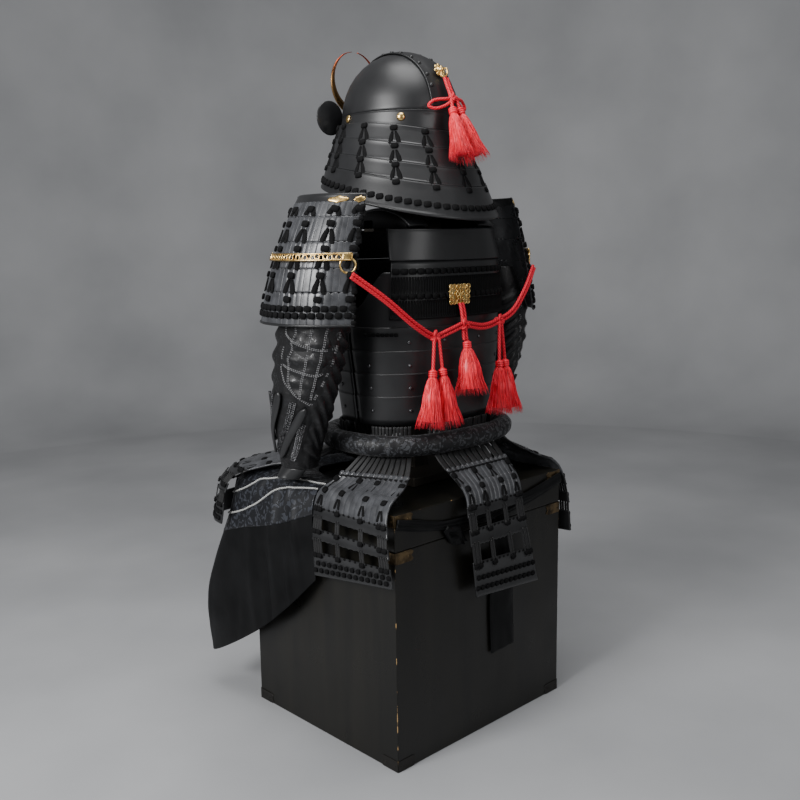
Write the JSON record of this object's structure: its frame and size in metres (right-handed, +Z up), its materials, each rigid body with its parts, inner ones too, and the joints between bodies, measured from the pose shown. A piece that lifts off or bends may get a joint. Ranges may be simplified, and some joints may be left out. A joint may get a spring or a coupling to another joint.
{
  "type": "samurai armour on its storage box and stand",
  "caption": "Black lacquered samurai armour with helmet, shoulder guards, sleeves, skirt panels and apron, worn by an inner stand on its lidded wooden storage box.",
  "frame": {"origin": "centre of the underside of the storage box, where it stands on the floor", "axes": "+Z up; the armour faces -Y, so its back is towards +Y; +X is the armour's left side"},
  "size_m": [0.6637, 0.6012, 1.3775],
  "materials": {
    "lacquer": "black lacquer, satin",
    "laced": "black lacquered scales with black braid lacing",
    "box_lacquer": "black lacquered wood, semi-gloss",
    "stand_wood": "black stained wood, matt",
    "gold": "gilt brass, polished",
    "copper": "coppered brass, polished",
    "brocade": "black figured brocade with a sheen",
    "satin": "black satin",
    "red_cord": "red silk braid"
  },
  "bodies": {
    "root": {"box_body": "box_lacquer", "box_lid": "box_lacquer", "stand_frame": "stand_wood", "stand_head": "stand_wood", "back_lames": "lacquer", "back_plate": "lacquer", "back_laced": "laced", "front_lames": "lacquer", "front_plate": "lacquer", "front_laced": "laced", "shoulder_strap_left": "laced", "shoulder_strap_right": "laced", "helmet_bowl": "lacquer", "helmet_plate": "lacquer", "helmet_band": "lacquer", "helmet_visor": "lacquer", "neck_lame_1": "lacquer", "neck_lame_2": "lacquer", "neck_lame_3": "lacquer", "neck_lame_4": "lacquer", "turnback_left": "lacquer", "turnback_right": "lacquer", "crest": "copper", "guard_cap_left": "lacquer", "guard_cap_right": "lacquer", "guard_lames_left": "laced", "guard_lames_right": "laced", "guard_bar_left": "gold", "guard_bar_right": "gold", "sleeve_left": "brocade", "sleeve_right": "brocade", "hand_guard_left": "lacquer", "hand_guard_right": "lacquer", "waist_roll": "brocade", "skirt_back_left": "laced", "skirt_back_middle": "laced", "skirt_back_right": "laced", "skirt_front_left": "laced", "skirt_front_middle": "laced", "skirt_front_right": "laced", "apron_left": "brocade", "apron_right": "brocade", "apron_belt": "satin", "back_plaque": "gold", "cord_left": "red_cord", "cord_right": "red_cord", "cord_middle": "red_cord", "tassel_left_1": "red_cord", "tassel_left_2": "red_cord", "tassel_middle": "red_cord", "tassel_right_1": "red_cord", "tassel_right_2": "red_cord", "helmet_ring": "gold", "helmet_cord": "red_cord", "helmet_tassel_left": "red_cord", "helmet_tassel_right": "red_cord"}
  },
  "joints": []
}
